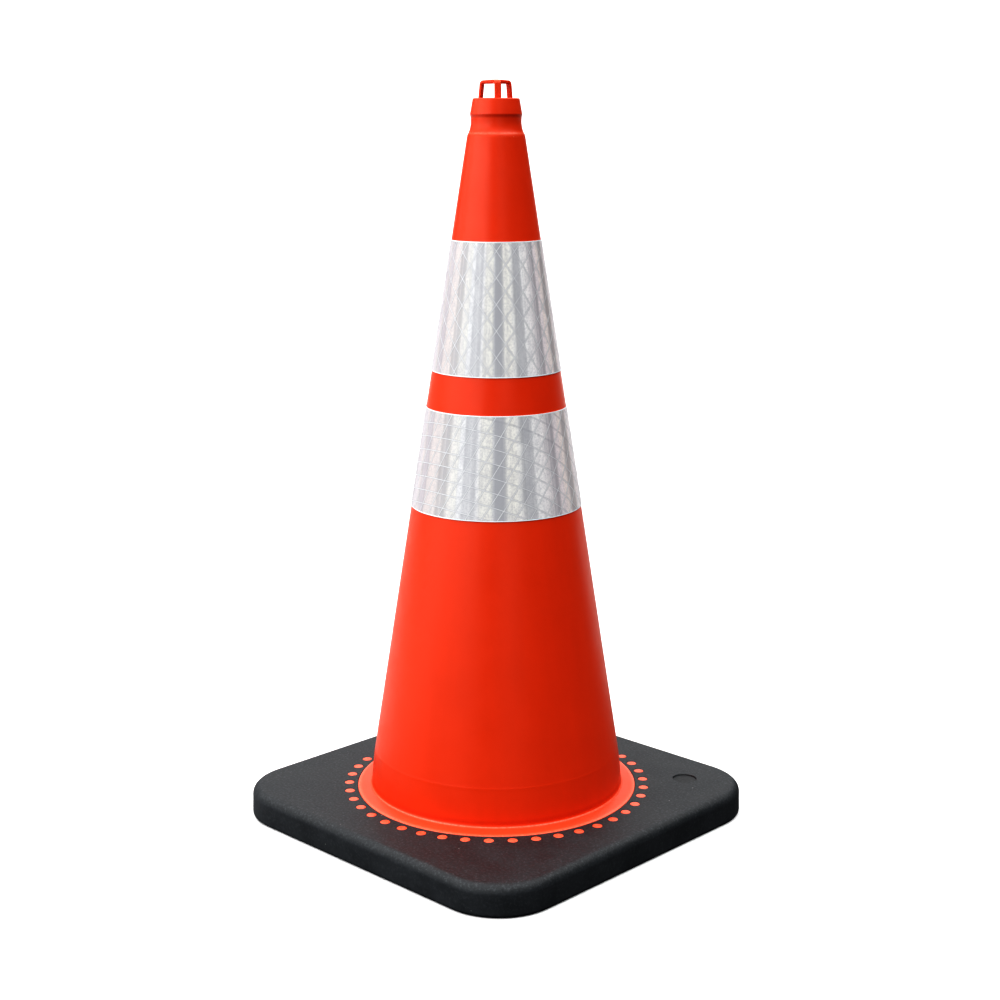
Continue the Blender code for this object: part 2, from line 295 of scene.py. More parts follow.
def shell_outline():
    """The shell's closed outline: down the outside, round the hidden tongue, and up the inside."""
    lip_centre = (LIP_RADIUS - LIP_ROUND, LIP_HEIGHT - LIP_ROUND)
    neck = (NECK_RADIUS, NECK_HEIGHT)
    ridge = (RIDGE_RADIUS, RIDGE_HEIGHT)
    shoulder = (cone_radius(SHOULDER_HEIGHT), SHOULDER_HEIGHT)
    flare_end = (shoulder[0] - SHOULDER_STEP, SHOULDER_HEIGHT + SHOULDER_RISE)
    foot_line = cone_radius(FOOT_LINE_HEIGHT)
    flange_top = BASE_TOP + FLANGE_RISE
    fillet_end = FOOT_RADIUS + FILLET_WIDTH
    flange_corner = (FLANGE_RADIUS, BASE_TOP)
    ramp_foot = LEDGE_BOTTOM - LEDGE_RAMP[1]

    outline = arc(lip_centre, LIP_ROUND, start=90, end=8, steps=8)
    under_ridge = (RIDGE_RADIUS - RIDGE_UNDERCUT[0], RIDGE_HEIGHT - RIDGE_UNDERCUT[1])
    outline += rounded_corner(outline[-1], ridge, under_ridge, RIDGE_ROUND)
    above_neck = (NECK_RADIUS, NECK_HEIGHT + RIDGE_UNDERCUT[1])
    below_neck = (NECK_RADIUS, NECK_HEIGHT - NECK_PULL)
    outline += bezier(outline[-1], under_ridge, above_neck, neck, steps=9)
    outline += bezier(neck, below_neck, FLARE_PULL, flare_end, steps=14)
    outline += rounded_corner(flare_end, shoulder, (foot_line, FOOT_LINE_HEIGHT), SHOULDER_ROUND)
    wall_low = FOOT_LINE_HEIGHT + FOOT_LINE_HALF + HOLD
    for height in (SHOULDER_HEIGHT - SHOULDER_ROUND - HOLD, *OUTSIDE_RINGS, wall_low, wall_low - HOLD):
        outline.append((cone_radius(height), height))
    outline.append((foot_line + FOOT_LINE_PROUD, FOOT_LINE_HEIGHT))
    outline += [on_foot(share) for share in FOOT_SHARES]
    outline.append((FOOT_RADIUS, FOOT_HEIGHT))
    outline += bezier(
        outline[-1],
        (FOOT_RADIUS, FOOT_HEIGHT - FILLET_PULL),
        (fillet_end - FILLET_PULL, flange_top),
        (fillet_end, flange_top),
        steps=10,
    )
    outline += rounded_corner(outline[-1], flange_corner, (FLANGE_RADIUS, TONGUE_TOP), FLANGE_EDGE)
    outline += [
        (FLANGE_RADIUS, TONGUE_TOP),
        (TONGUE_RADIUS, TONGUE_TOP),
        (TONGUE_RADIUS, TONGUE_BOTTOM),
        (FOOT_BORE_RADIUS, TONGUE_BOTTOM),
        (FOOT_RADIUS - WALL, FOOT_HEIGHT),
        (foot_line - WALL, FOOT_LINE_HEIGHT),
    ]
    outline += [(cone_radius(height) - WALL, height) for height in INSIDE_RINGS]
    outline += [
        (cone_radius(ramp_foot) - WALL, ramp_foot),
        (LEDGE_RADIUS + LEDGE_RAMP[0], LEDGE_BOTTOM),
        (LEDGE_RADIUS, LEDGE_BOTTOM),
        (LEDGE_RADIUS, LEDGE_TOP),
        (MOUTH_RADIUS, LEDGE_TOP),
    ]
    mouth_centre = (MOUTH_RADIUS + MOUTH_EDGE, LIP_HEIGHT - MOUTH_EDGE)
    outline += arc(mouth_centre, MOUTH_EDGE, start=180, end=95, steps=5)
    return outline


def make_shell(material):
    shell = lathe_object("cone_shell_fine", shell_outline(), material, sharp=38)
    take_place(shell, "orange_vinyl", "cone_shell")


# -------------------------------- handle cage

def cage_stations():
    """(outer, inner) pairs in the (radius, height) plane, from a leg's foot to past the middle of its bar."""
    underside = CAGE_TOP - BAR_DEPTH
    edge_height = CAGE_TOP - BAR_CROWN
    outer_centre = (BAR_OUTER_RADIUS - BAR_CORNER, edge_height - BAR_CORNER)
    inner_round = BAR_CORNER - LEG_DEPTH
    inner_centre = (outer_centre[0], underside - inner_round)
    outer = [(LEG_FOOT_RADIUS, LEG_FOOT_HEIGHT), (LEG_FOOT_RADIUS, LEG_KNEE_HEIGHT)]
    outer += arc(outer_centre, BAR_CORNER, start=LEG_LEAN, end=90, steps=8)
    inner = [(radius - LEG_DEPTH, height) for radius, height in outer[:2]]
    inner += arc(inner_centre, inner_round, start=LEG_LEAN, end=90, steps=8)
    for share in (0.5, 0.0):
        radius = outer_centre[0] * share
        crown = BAR_CROWN * math.sqrt(1 - share)
        outer.append((radius, edge_height + crown))
        inner.append((radius, underside))
    outer.append((-BAR_OVERRUN, CAGE_TOP))
    inner.append((-BAR_OVERRUN, underside))
    return list(zip(outer, inner))


def leg_section(outer, inner, turn):
    """The rounded rectangle across a leg between its outer and inner face."""
    across = Vector((outer[0] - inner[0], 0.0, outer[1] - inner[1]))
    middle = Vector(((outer[0] + inner[0]) / 2, 0.0, (outer[1] + inner[1]) / 2))
    depth = across.length
    across.normalize()
    side = Vector((0.0, 1.0, 0.0))
    points = []
    for quarter, (sign_a, sign_b) in enumerate(((1, 1), (-1, 1), (-1, -1), (1, -1))):
        for step in range(LEG_EDGE_STEPS + 1):
            angle = math.pi / 2 * (quarter + step / LEG_EDGE_STEPS)
            a = sign_a * (depth / 2 - LEG_EDGE_ROUND) + LEG_EDGE_ROUND * math.cos(angle)
            b = sign_b * (LEG_WIDTH / 2 - LEG_EDGE_ROUND) + LEG_EDGE_ROUND * math.sin(angle)
            points.append(turn @ (middle + across * a + side * b))
    return points


def add_cage_leg(builder, number):
    turn = Matrix.Rotation(CAGE_FIRST_ANGLE + number * 2 * math.pi / CAGE_LEGS, 3, "Z")
    rings = []
    for outer, inner in cage_stations():
        rings.append([builder.verts.new(point) for point in leg_section(outer, inner, turn)])
    join_rings(builder, rings)
    builder.faces.new(list(reversed(rings[0])))
    builder.faces.new(rings[-1])


def make_cage(material):
    """Legs and bars fused into one moulding with soft fillets where they meet."""
    builder = bmesh.new()
    for number in range(CAGE_LEGS):
        add_cage_leg(builder, number)
    cage = finish_object("handle_cage_fine", builder, material)
    remesh = cage.modifiers.new("fuse", "REMESH")
    remesh.mode = "VOXEL"
    remesh.voxel_size = CAGE_VOXEL
    remesh.use_smooth_shade = True
    smooth = cage.modifiers.new("soften", "SMOOTH")
    smooth.factor = 0.5
    smooth.iterations = CAGE_SOFTENING
    apply_modifiers(cage)
    cage.data.shade_smooth()
    take_place(cage, "orange_vinyl", "top_cage")

    inner, outer, low, high = SEAT_RING
    corners = [(inner, high), (outer, high), (outer, low), (inner, low)]
    outline = []
    for i, corner in enumerate(corners):
        outline += rounded_corner(corners[i - 1], corner, corners[(i + 1) % 4], SEAT_EDGE, steps=3)
    ring = lathe_object("cage_seat_ring_fine", outline, material, sharp=40, steps=96)
    take_place(ring, "orange_vinyl", "top_cage")


# -------------------------------- reflective collars

FILM_THICKNESS = 0.0004
FILM_EDGE = 0.00015
FILM_STEPS = 256
# Painted reflections: the film's upright light and dark bands
BAND_COUNT = 17  # dark upright bands round the film
BAND_START = math.radians(2.0)  # a dark one's middle, from the front
EDGE_BAND = 0.0011  # height of the sealed strip along each edge
EDGE_PROUD = 0.00006
EDGE_OVERHANG = 0.00005  # how far it reaches past the film's edge
EDGE_SOFT = 0.00018  # its rounding
SEAL_WIDTH = 0.00090
SEAL_PROUD = 0.00010
SEAL_CREST = 0.34  # half the crest's width, as a share of the whole width
SEAL_LAYER = 0.25  # how much prouder the second family lies, so that the two don't coincide
SEAL_STEP = 0.0035  # between points along a line
SEAL_SHORTEST = 0.0003  # points closer than this are left out
SEAL_END_GAP = 0.0012  # from the lines' ends to the middle of the back
SEAL_REACH = 1.6  # how far lines are followed, in half widths of the flat pattern
SEAL_HALVINGS = 12  # passes of the search for where a line meets the edge
SEAM_HALF_WIDTH = 0.0060
SEAM_PROUD = 0.00025
SEAM_GRID = (6, 8)  # rows and columns
FLAT_HALF_ANGLE = math.pi * math.sin(CONE_ANGLE)  # of the wall's flat pattern, about its apex


def on_film(theta, slant, proud):
    """A point of the film from its flat pattern: theta from the front about the apex, slant from the apex."""
    angle = FRONT_ANGLE + theta / math.sin(CONE_ANGLE)
    height = APEX_HEIGHT - slant * math.cos(CONE_ANGLE)
    radius = cone_radius(height) + proud
    return Vector((radius * math.cos(angle), radius * math.sin(angle), height))


def slant_at(height):
    return (APEX_HEIGHT - height) / math.cos(CONE_ANGLE)


class Collar:
    """Where one collar lies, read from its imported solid."""

    def __init__(self, node):
        low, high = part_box(node)
        self.node = node
        self.low = low.z
        self.high = high.z
        self.proud = high.x - cone_radius(low.z)


class SealFamily:
    """Evenly spaced seal lines on the flat pattern, one of them through the origin (across, down).

    bend curves them, in radians per metre along a line.
    """

    def __init__(self, origin, slope_degrees, spacing, bend=0.0):
        slope = math.radians(slope_degrees)
        self.origin = Vector(origin)
        self.along = Vector((math.cos(slope), math.sin(slope)))
        self.across = Vector((-math.sin(slope), math.cos(slope)))
        self.spacing = spacing
        self.bend = bend

    def point(self, number, distance):
        place = self.origin + self.across * (self.spacing * number) + self.along * distance
        return place + self.across * (self.bend * distance * distance / 2)


UPPER_SEALS = (
    SealFamily((0.0001, 0.2996), 55.4, 0.01370),
    SealFamily((0.0001, 0.2996), -55.4, 0.01370),
)
LOWER_SEALS = (
    SealFamily((0.0007, 0.4564), 15.5, 0.01290, bend=2.6),
    SealFamily((-0.0235, 0.4648), 122.0, 0.01275, bend=0.8),
)


def make_film(collar, material):
    """The film itself: a thin sleeve that follows the wall, with softly rounded edges."""
    back = collar.proud - FILM_THICKNESS
    outline = [
        (cone_radius(collar.high) + back, collar.high),
        (cone_radius(collar.high) + collar.proud - FILM_EDGE, collar.high),
    ]
    middle = (collar.low + collar.high) / 2
    for height in (
        collar.high - FILM_EDGE,
        collar.high - FILM_EDGE - HOLD,
        middle,
        collar.low + FILM_EDGE + HOLD,
        collar.low + FILM_EDGE,
    ):
        outline.append((cone_radius(height) + collar.proud, height))
    outline += [
        (cone_radius(collar.low) + collar.proud - FILM_EDGE, collar.low),
        (cone_radius(collar.low) + back, collar.low),
    ]
    film = lathe_object(f"{collar.node}_film", outline, material, sharp=60, steps=FILM_STEPS)
    take_place(film, "reflective_film", collar.node)


def make_edge_bands(collar, material):
    """The sealed strips along the film's top and bottom edge."""
    builder = bmesh.new()
    outer = collar.proud + EDGE_PROUD
    inner = collar.proud - FILM_THICKNESS / 2
    for low in (collar.low - EDGE_OVERHANG, collar.high - EDGE_BAND + EDGE_OVERHANG):
        high = low + EDGE_BAND
        outline = [
            (cone_radius(high) + inner, high),
            (cone_radius(high) + outer - EDGE_SOFT / 2, high),
            (cone_radius(high - EDGE_SOFT) + outer, high - EDGE_SOFT),
            (cone_radius(low + EDGE_SOFT) + outer, low + EDGE_SOFT),
            (cone_radius(low) + outer - EDGE_SOFT / 2, low),
            (cone_radius(low) + inner, low),
        ]
        add_lathe(builder, outline, FILM_STEPS)
    bands = finish_object(f"{collar.node}_edge_bands", builder, material, sharp=60)
    take_place(bands, "reflective_film", collar.node)


def seal_runs(collar, family):
    """The stretch of each seal line that lies on the film, as a list of (theta, slant)."""
    top = slant_at(collar.high - EDGE_BAND)
    bottom = slant_at(collar.low + EDGE_BAND)
    side = FLAT_HALF_ANGLE - SEAL_END_GAP / bottom
    reach = FLAT_HALF_ANGLE * bottom * SEAL_REACH
    steps = int(2 * reach / SEAL_STEP)
    lines = int(reach / family.spacing) + 2

    def flat(number, distance):
        place = family.point(number, distance)
        return math.atan2(place.x, place.y), place.length

    def covers(number, distance):
        theta, slant = flat(number, distance)
        return top < slant < bottom and abs(theta) < side

    def last_covered(number, kept, lost):
        for _ in range(SEAL_HALVINGS):
            middle = (kept + lost) / 2
            if covers(number, middle):
                kept = middle
            else:
                lost = middle
        return kept

    for number in range(-lines, lines + 1):
        run = []
        before = -reach
        for step in range(steps + 1):
            distance = -reach + 2 * reach * step / steps
            if covers(number, distance):
                if not run:
                    run.append(last_covered(number, distance, before))
                run.append(distance)
            elif run:
                run.append(last_covered(number, before, distance))
                break
            before = distance
        places = [d for d, following in zip(run, run[1:]) if following - d > SEAL_SHORTEST] + run[-1:]
        if len(places) > 1:
            yield [flat(number, distance) for distance in places]


def add_seal(builder, run, root, crest):
    """A low rib along one run, from one distance above the wall to another, closed at both ends."""
    rings = []
    for i, (theta, slant) in enumerate(run):
        ahead = run[min(i + 1, len(run) - 1)]
        behind = run[max(i - 1, 0)]
        step = Vector(((ahead[0] - behind[0]) * slant, ahead[1] - behind[1])).normalized()
        across = Vector((-step.y, step.x)) * SEAL_WIDTH
        ring = []
        for share, proud in ((-0.5, root), (0.5, root), (SEAL_CREST, crest), (-SEAL_CREST, crest)):
            shift = across * share
            ring.append(builder.verts.new(on_film(theta + shift.x / slant, slant + shift.y, proud)))
        rings.append(ring)
    join_rings(builder, rings)
    builder.faces.new(rings[0])
    builder.faces.new(rings[-1])


def make_seal_lines(collar, families, material):
    builder = bmesh.new()
    for layer, family in enumerate(families):
        crest = collar.proud + SEAL_PROUD * (1 + SEAL_LAYER * layer)
        for run in seal_runs(collar, family):
            add_seal(builder, run, collar.proud - FILM_THICKNESS / 2, crest)
    lines = finish_object(f"{collar.node}_seal_lines", builder, material, sharp=50)
    take_place(lines, "reflective_film", collar.node)


def make_seam(collar, material):
    """The film's overlap at the back, a strip that stands a little proud."""
    builder = bmesh.new()
    rows, columns = SEAM_GRID
    grids = []
    for proud in (collar.proud + SEAM_PROUD, collar.proud - FILM_THICKNESS / 2):
        grid = []
        for row in range(rows + 1):
            height = collar.low + (collar.high - collar.low) * row / rows
            line = []
            for column in range(columns + 1):
                radius = cone_radius(height) + proud
                angle = BACK_ANGLE + SEAM_HALF_WIDTH / radius * (2 * column / columns - 1)
                line.append(builder.verts.new((radius * math.cos(angle), radius * math.sin(angle), height)))
            grid.append(line)
        grids.append(grid)
    outer, inner = grids
    for grid in grids:
        for low, high in zip(grid, grid[1:]):
            for i in range(columns):
                builder.faces.new((low[i], low[i + 1], high[i + 1], high[i]))
    for i in range(rows):
        for j in (0, columns):
            builder.faces.new((outer[i][j], outer[i + 1][j], inner[i + 1][j], inner[i][j]))
    for j in range(columns):
        for i in (0, rows):
            builder.faces.new((outer[i][j], outer[i][j + 1], inner[i][j + 1], inner[i][j]))
    seam = finish_object(f"{collar.node}_seam", builder, material, sharp=40)
    take_place(seam, "reflective_film", collar.node)


def make_collar(node, families, film, seal, edge):
    collar = Collar(node)
    make_film(collar, film)
    make_seal_lines(collar, families, seal)
    make_edge_bands(collar, edge)
    make_seam(collar, film)


# -------------------------------- base and pegs

def top_height(x, y):
    """The base's top falls away from its middle in four very shallow planes."""
    reach = max(abs(x), abs(y))
    share = max(0.0, reach - SLOPE_START) / (BASE_HALF - BASE_TOP_ROUND - SLOPE_START)
    return BASE_TOP - SLOPE_DROP * share


def rounded_square(half, corner):
    """The points of a level square outline with round corners, anticlockwise from +X."""
    points = []
    reach = half - corner
    for quarter in range(4):
        turn = Matrix.Rotation(quarter * math.pi / 2, 2)
        for step in range(CORNER_STEPS + 1):
            angle = math.pi / 2 * step / CORNER_STEPS
            place = Vector((reach + corner * math.cos(angle), reach + corner * math.sin(angle)))
            points.append(turn @ place)
    return points


def base_rings():
    """The base's outlines from the underside up over the edge and in across the top."""
    rings = []
    for step in range(BASE_FOOT_STEPS + 1):
        angle = math.pi / 2 * step / BASE_FOOT_STEPS
        inset = BASE_FOOT_ROUND * (1 - math.sin(angle))
        height = BASE_FOOT_ROUND * (1 - math.cos(angle))
        rings.append([(p.x, p.y, height) for p in rounded_square(BASE_HALF - inset, BASE_CORNER - inset)])
    for step in range(BASE_TOP_STEPS + 1):
        angle = math.pi / 2 * step / BASE_TOP_STEPS
        inset = BASE_DRAFT + BASE_TOP_ROUND * (1 - math.cos(angle))
        drop = BASE_TOP_ROUND * (1 - math.sin(angle))
        outline = rounded_square(BASE_HALF - inset, BASE_CORNER - inset)
        rings.append([(p.x, p.y, top_height(p.x, p.y) - drop) for p in outline])
    for inset in (*BASE_TOP_INSETS, BASE_HALF - SLOPE_START):
        outline = rounded_square(BASE_HALF - inset, max(BASE_CORNER - inset, BASE_CORNER_MIN))
        rings.append([(p.x, p.y, top_height(p.x, p.y)) for p in outline])
    return rings


def base_block():
    builder = bmesh.new()
    rings = [[builder.verts.new(point) for point in ring] for ring in base_rings()]
    join_rings(builder, rings)
    builder.faces.new(list(reversed(rings[0])))
    builder.faces.new(rings[-1])
    return builder


def foot_hole():
    """The stepped hole for the cone's foot, its flange and the groove of its tongue."""
    hole = FOOT_BORE_RADIUS + FIT_GAP
    groove = TONGUE_RADIUS + FIT_GAP
    mouth = FLANGE_RADIUS + FIT_GAP
    low = TONGUE_BOTTOM - FIT_GAP
    high = TONGUE_TOP + FIT_GAP
    return [
        (0.0, BASE_TOP + CUT_MARGIN),
        (mouth, BASE_TOP + CUT_MARGIN),
        (mouth, high),
        (groove, high),
        (groove, low),
        (hole, low),
        (hole, -CUT_MARGIN),
        (0.0, -CUT_MARGIN),
    ]


def peg_place(node):
    low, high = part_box(node)
    return ((low.x + high.x) / 2, (low.y + high.y) / 2)


def peg_radius():
    low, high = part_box(PEG_NODES[0])
    return (high.y - low.y) / 2


def make_base(material):
    base = finish_object("base_plate_fine", base_block(), material)
    cut_away(base, lathe_object("foot_hole", foot_hole(), None))

    builder = bmesh.new()
    radius = peg_radius() + FIT_GAP
    bottom = (TONGUE_TOP + TONGUE_BOTTOM) / 2
    top = BASE_TOP + CUT_MARGIN
    outline = [(0.0, top), (radius, top), (radius, bottom), (0.0, bottom)]
    for node in PEG_NODES:
        add_lathe(builder, outline, PEG_STEPS, peg_place(node))
    cut_away(base, finish_object("peg_holes", builder, None))

    builder = bmesh.new()
    floor = top_height(*RECESS_CENTRE) - RECESS_DEPTH
    slope = RECESS_SLOPE / RECESS_DEPTH
    outline = [
        (0.0, floor + CUT_MARGIN),
        (RECESS_RADIUS + slope * (CUT_MARGIN - RECESS_DEPTH), floor + CUT_MARGIN),
        (RECESS_RADIUS - RECESS_SLOPE, floor),
        (0.0, floor),
    ]
    add_lathe(builder, outline, RECESS_STEPS, RECESS_CENTRE)
    cut_away(base, finish_object("recess", builder, None))

    base.data.materials.clear()
    base.data.materials.append(material)
    base.data.shade_smooth()
    base.data.set_sharp_from_angle(angle=math.radians(BASE_SHARP))
    weighted = base.modifiers.new("flat faces stay flat", "WEIGHTED_NORMAL")
    weighted.keep_sharp = True
    weighted.weight = 80
    take_place(base, "black_vinyl", "base_plate")


def make_pegs(material):
    """Every peg ends flush with the base's top, with a softened edge and a very low dome."""
    radius = peg_radius()
    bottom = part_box(PEG_NODES[0])[0].z
    for node in PEG_NODES:
        place = peg_place(node)
        top = min(top_height(*place), BASE_TOP - PEG_DOME)
        outline = [(0.0, top + PEG_DOME)]
        outline.append((radius * PEG_DOME_RING[0], top + PEG_DOME * PEG_DOME_RING[1]))
        outline += arc((radius - PEG_EDGE, top - PEG_EDGE), PEG_EDGE, start=78, end=0, steps=4)
        outline += [(radius, bottom), (0.0, bottom)]
        builder = bmesh.new()
        add_lathe(builder, outline, PEG_STEPS, place)
        peg = finish_object(f"{node}_fine", builder, material, sharp=50)
        take_place(peg, "orange_vinyl", node)


# -------------------------------- materials

WHITE = (1.0, 1.0, 1.0, 1.0)
MIDRANGE = (0.3, 0.7)  # the part of a noise's range that most of it lies in

# Orange vinyl
ORANGE = (0.83, 0.066, 0.011, 1.0)
ORANGE_MOTTLE = 0.93  # the mottling's darkest, as a share of the colour
# Paler colour for worn patches, for painted highlights and for the painted sheen
ORANGE_PALE = (0.95, 0.42, 0.30, 1.0)
# Multiplied in for painted shade
ORANGE_SHADE = (0.74, 0.62, 0.60, 1.0)
ORANGE_ROUGHNESS = (0.34, 0.40)
ORANGE_IOR = 1.48
FLOW_STRETCH = (1.0, 1.0, 0.06)
# Widths of the painted shade rings and of the painted highlight rings
SHADE_WIDTH = 0.0026
HIGHLIGHT_WIDTH = 0.0009

# Level lines round the cone: the height, half the width, and the strength of what is there
WORN_RINGS = (
    (RIDGE_HEIGHT, 0.0010, 1.0),
    (LIP_HEIGHT, 0.0012, 1.0),
    (SHOULDER_HEIGHT, 0.0010, 1.0),
)
# Painted shade: a dark band under the ridge and darkening along the wall's foot
SHADED_RINGS = (
    (RIDGE_HEIGHT - SHADE_WIDTH / 2, SHADE_WIDTH, 1.0),
    (FOOT_HEIGHT + SHADE_WIDTH / 2, 1.5 * SHADE_WIDTH, 0.55),
)
# Painted highlights: a line along the foot's fillet, the flange's outer edge, and the flare above the
# shoulder
HIGHLIGHT_RINGS = (
    (BASE_TOP + FLANGE_RISE + HIGHLIGHT_WIDTH, HIGHLIGHT_WIDTH, 1.7),
    (BASE_TOP, HIGHLIGHT_WIDTH, 1.4),
    (SHOULDER_HEIGHT + SHOULDER_RISE + HIGHLIGHT_WIDTH, 2 * HIGHLIGHT_WIDTH, 0.9),
)

# Black rubber
RUBBER_DARK = (0.018, 0.021, 0.024, 1.0)
RUBBER_GREY = (0.028, 0.032, 0.036, 1.0)
RUBBER_CRUMB = (0.078, 0.085, 0.092, 1.0)
RUBBER_PORE = (0.010, 0.011, 0.013, 1.0)
RUBBER_SCUFF = (0.056, 0.062, 0.070, 1.0)
RUBBER_WORN = (0.090, 0.096, 0.102, 1.0)
RUBBER_SPECK = (0.32, 0.32, 0.31, 1.0)
RUBBER_RECESS = (0.008, 0.009, 0.010, 1.0)
RUBBER_ROUGHNESS = (0.52, 0.62)
RUBBER_SPECULAR = 0.60
SCRATCH_STRETCH = (1.0, 0.16, 1.0)
SPECK_DENSITY = 42.0  # cells in a metre, with one speck each
SPECK_SIZE = (0.018, 0.034)  # where it begins to fade and where it ends, in cells

# Prismatic film, its seal lines and its sealed edge. LEFT, RIGHT, ROSE and WARM are multiplied in.
# The light and dark of the painted reflection bands
FILM_LIGHT = (0.93, 0.945, 0.945, 1.0)
FILM_DARK = (0.50, 0.515, 0.54, 1.0)
# Painted shade: multiplied in, darker on the left side and lighter on the right
FILM_LEFT = (0.78, 0.775, 0.79, 1.0)
FILM_RIGHT = (1.10, 1.08, 1.08, 1.0)
# Painted reflection: a pink tint multiplied in towards both sides
FILM_ROSE = (0.98, 0.90, 0.91, 1.0)
FILM_WARM = (1.0, 0.99, 0.92, 1.0)
# Painted shadow beside the seal lines
FILM_RIB_SHADOW = (0.40, 0.41, 0.45, 1.0)
FILM_GRAIN = (0.42, 0.43, 0.47, 1.0)
FILM_CLOUD = (0.46, 0.46, 0.50, 1.0)
FILM_ROUGHNESS = (0.28, 0.36)
FILM_SPECULAR = 0.45
CLOUD_STRETCH = (1.0, 1.0, 0.5)
BAND_DRIFT = 0.8  # how unevenly the bands lie, in radians of their wave
BAND_STEP = 0.30  # how far they step from cell to cell, the same way
BAND_STREAKS = 1.3
CELL_SHADE = 0.16
# How dark the painted shadow beside the seal lines is, and how far from them it reaches
RIB_SHADOW_STRENGTH = 0.42
RIB_SHADOW_REACH = (SEAL_WIDTH * 0.5, SEAL_WIDTH * 1.6)
SEAL_TONES = ((0.68, 0.69, 0.71, 1.0), (0.76, 0.77, 0.78, 1.0))
SEAL_ROUGHNESS = (0.34, 0.42)
EDGE_TONES = ((0.78, 0.86, 0.90, 1.0), (0.90, 0.95, 0.97, 1.0))
EDGE_ROUGHNESS = (0.29, 0.36)


class Nodes:
    """A node tree, with short ways to add and join nodes. A value is a number, a colour or a socket."""

    def __init__(self, tree):
        self.tree = tree
        self.coordinates = self.node("ShaderNodeTexCoord").outputs
        self.place = self.coordinates["Object"]

    def plug(self, value, socket):
        if isinstance(value, bpy.types.NodeSocket):
            self.tree.links.new(value, socket)
        else:
            socket.default_value = value

    def node(self, kind, inputs=None, **settings):
        """A new node. Its inputs are given by name or number."""
        made = self.tree.nodes.new(kind)
        for key, value in settings.items():
            setattr(made, key, value)
        for key, value in (inputs or {}).items():
            self.plug(value, made.inputs[key])
        return made

    def math(self, operation, first, second=0.0, third=0.0, clamp=False):
        values = {0: first, 1: second, 2: third}
        return self.node("ShaderNodeMath", values, operation=operation, use_clamp=clamp).outputs[0]

    def plus(self, first, second, clamp=False):
        return self.math("ADD", first, second, clamp=clamp)

    def minus(self, first, second):
        return self.math("SUBTRACT", first, second)

    def times(self, first, second):
        return self.math("MULTIPLY", first, second)

    def times_plus(self, first, second, rest, clamp=False):
        return self.math("MULTIPLY_ADD", first, second, rest, clamp)

    def fit(self, value, span, to=(0.0, 1.0)):
        """Maps span smoothly to another span, and holds the ends."""
        values = dict(enumerate((value, *span, *to)))
        return self.node("ShaderNodeMapRange", values, interpolation_type="SMOOTHSTEP").outputs[0]

    def split(self, vector=None):
        return self.node("ShaderNodeSeparateXYZ", {0: self.place if vector is None else vector}).outputs

    def joined(self, x, y):
        return self.node("ShaderNodeCombineXYZ", {0: x, 1: y}).outputs[0]

    def length(self, vector):
        return self.node("ShaderNodeVectorMath", {0: vector}, operation="LENGTH").outputs["Value"]

    def stretched(self, scale):
        """The object's coordinates, scaled by (x, y, z)."""
        return self.node("ShaderNodeMapping", {"Vector": self.place, "Scale": scale}).outputs["Vector"]

    def noise(self, scale, detail=2.0, rough=0.5, vector=None):
        values = {"Scale": scale, "Detail": detail, "Roughness": rough}
        values["Vector"] = self.place if vector is None else vector
        return self.node("ShaderNodeTexNoise", values).outputs["Fac"]

    def mix(self, factor, first, second, blend="MIX"):
        values = {"Factor": factor, 6: first, 7: second}
        return self.node("ShaderNodeMix", values, data_type="RGBA", blend_type=blend).outputs[2]

    def bump(self, height, distance, strength):
        values = {"Height": height, "Distance": distance, "Strength": strength}
        return self.node("ShaderNodeBump", values).outputs["Normal"]

    def end_stage(self, bounced, shown, output):
        """The camera sees one shader, and light bouncing about sees the other."""
        camera = self.node("ShaderNodeLightPath").outputs["Is Camera Ray"]
        mixed = self.node("ShaderNodeMixShader", {0: camera, 1: bounced.outputs[0], 2: shown.outputs[0]})
        self.plug(mixed.outputs[0], self.tree.nodes[output].inputs["Surface"])


class Shader(Nodes):
    """A new material's node tree and its main shader."""

    def __init__(self, name):
        self.material = bpy.data.materials.new(name)
        self.material.use_nodes = True
        super().__init__(self.material.node_tree)
        self.main = self.tree.nodes["Principled BSDF"]

    def finish(self, **values):
        """Sets or joins the main shader's sockets, with an underscore for a space, and gives the material."""
        for key, value in values.items():
            self.plug(value, self.main.inputs[key.replace("_", " ")])
        return self.material


def ring_masks(shader, height, rings, clamp=False):
    """The sum of soft masks, one for each ring."""
    total = 0.0
    for centre, half, strength in rings:
        away = shader.math("ABSOLUTE", shader.minus(height, centre))
        total = shader.plus(total, shader.fit(away, (0.0, half), to=(strength, 0.0)), clamp=clamp)
    return total


